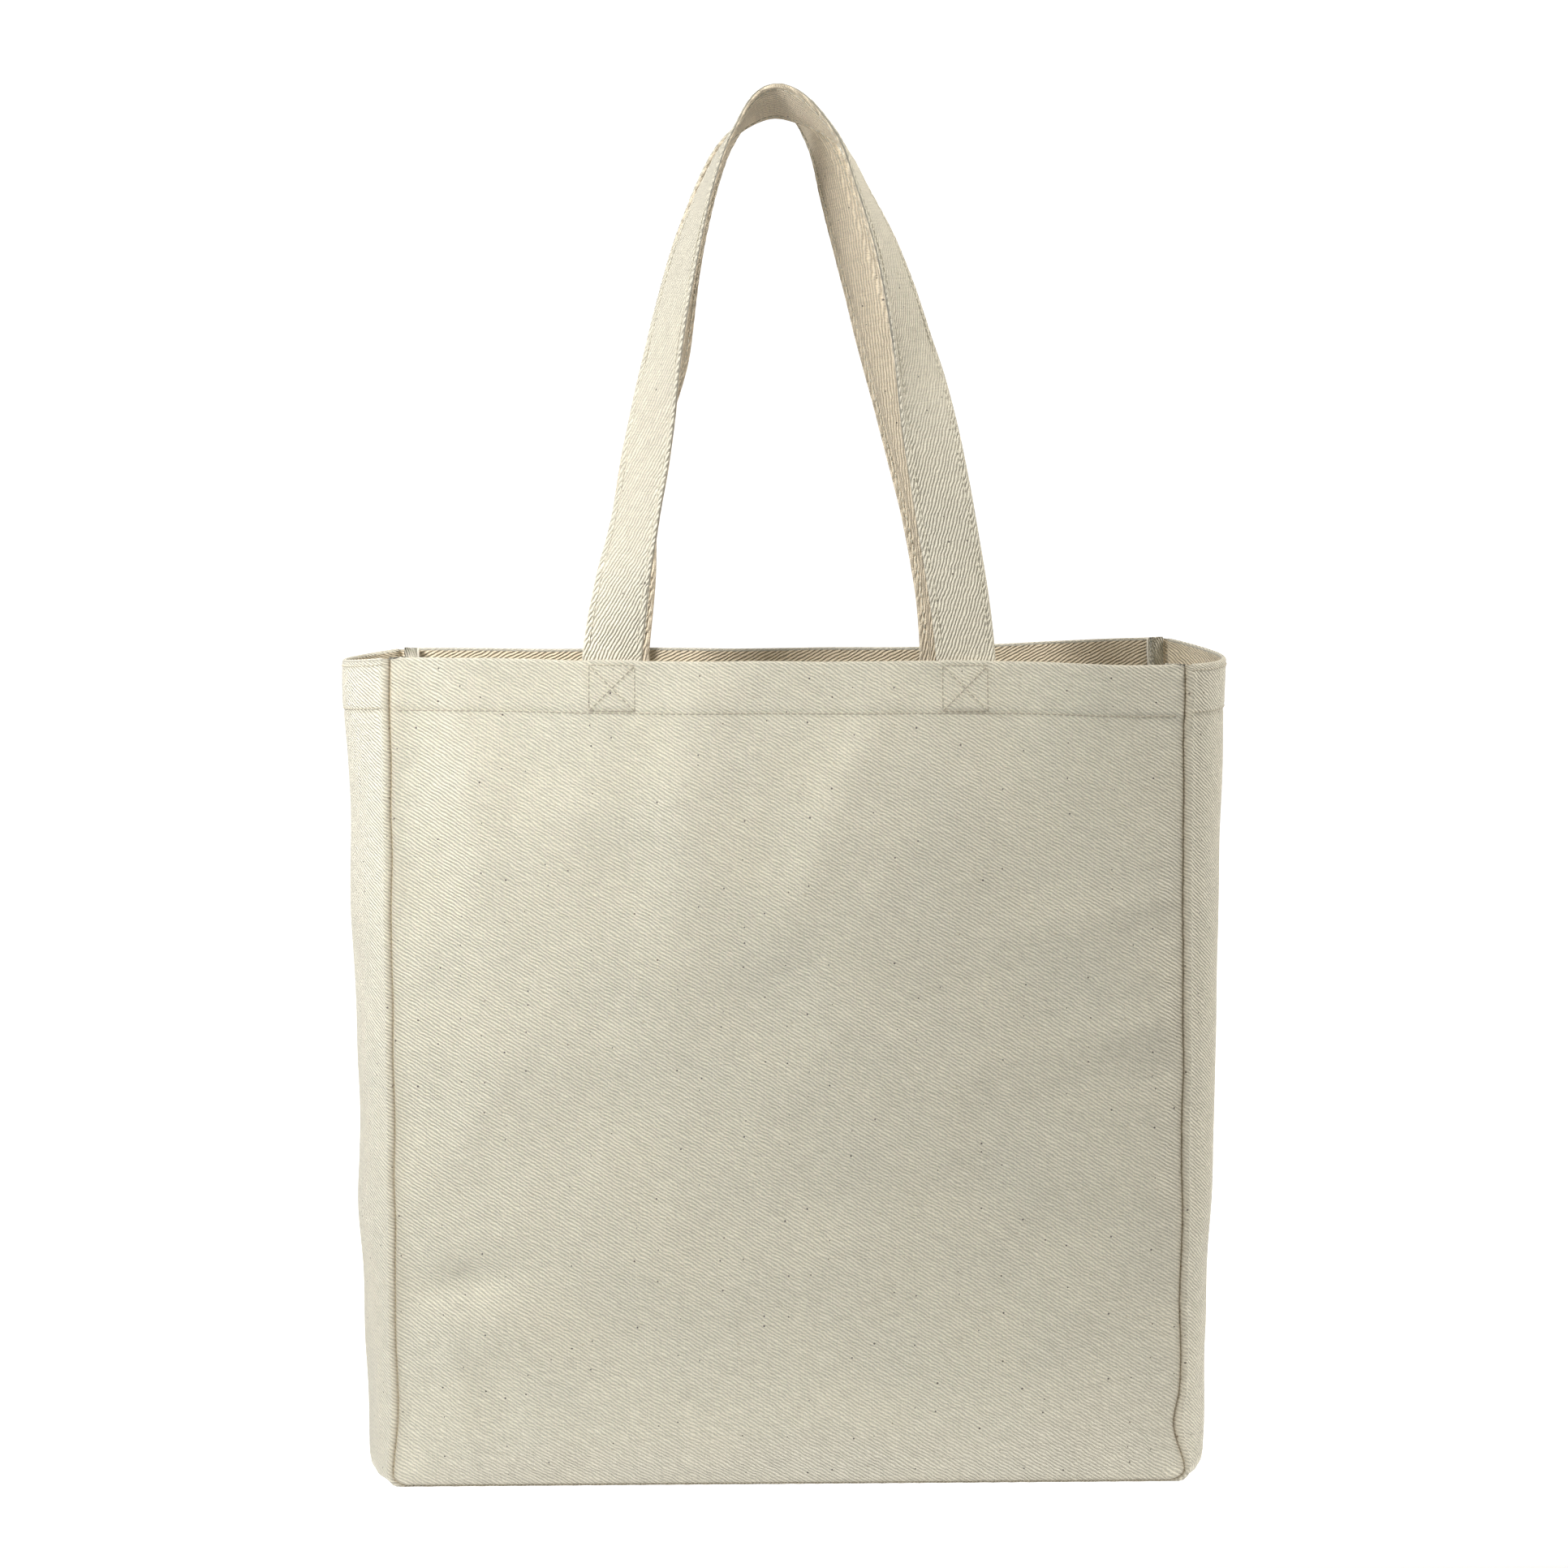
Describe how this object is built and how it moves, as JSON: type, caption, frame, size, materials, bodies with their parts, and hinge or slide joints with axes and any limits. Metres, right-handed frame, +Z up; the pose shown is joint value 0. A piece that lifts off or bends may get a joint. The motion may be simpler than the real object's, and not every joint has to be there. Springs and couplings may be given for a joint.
{
  "type": "canvas tote bag",
  "caption": "Open-topped canvas tote bag with a boxed gusset, stitched hem and two long strap handles that lean together and swing outward.",
  "frame": {"origin": "middle of the bottom, on the surface the bag stands on", "axes": "+X to the bag's right, +Y from the front panel to the back panel, +Z up"},
  "size_m": [0.44, 0.104, 0.6878],
  "materials": {
    "body_canvas": "matte twill canvas",
    "strap_canvas": "matte twill canvas",
    "thread": "matte cotton thread",
    "overlock_thread": "matte cotton thread"
  },
  "bodies": {
    "bag": {"gusset_strip": "body_canvas", "front_panel": "body_canvas", "front_left_handle_end": "strap_canvas", "front_left_box_stitching": "thread", "front_right_handle_end": "strap_canvas", "front_right_box_stitching": "thread", "front_hem_stitching": "thread", "front_seam_stitching": "thread", "front_seam_overlock": "overlock_thread", "back_panel": "body_canvas", "back_left_handle_end": "strap_canvas", "back_left_box_stitching": "thread", "back_right_handle_end": "strap_canvas", "back_right_box_stitching": "thread", "back_hem_stitching": "thread", "back_seam_stitching": "thread", "back_seam_overlock": "overlock_thread", "left_gusset_hem_stitching": "thread", "right_gusset_hem_stitching": "thread"},
    "front_handle_loop": {"front_handle": "strap_canvas", "front_handle_stitching": "thread"},
    "back_handle_loop": {"back_handle": "strap_canvas", "back_handle_stitching": "thread"}
  },
  "joints": [
    {"name": "front_handle_swing", "type": "hinge", "parent": "bag", "child": "front_handle_loop", "pos_m": [0, -0.04168, 0.40462], "axis": [1, 0, 0], "range_deg": [0, 176]},
    {"name": "back_handle_swing", "type": "hinge", "parent": "bag", "child": "back_handle_loop", "pos_m": [0, 0.04168, 0.40462], "axis": [-1, 0, 0], "range_deg": [0, 176]}
  ]
}
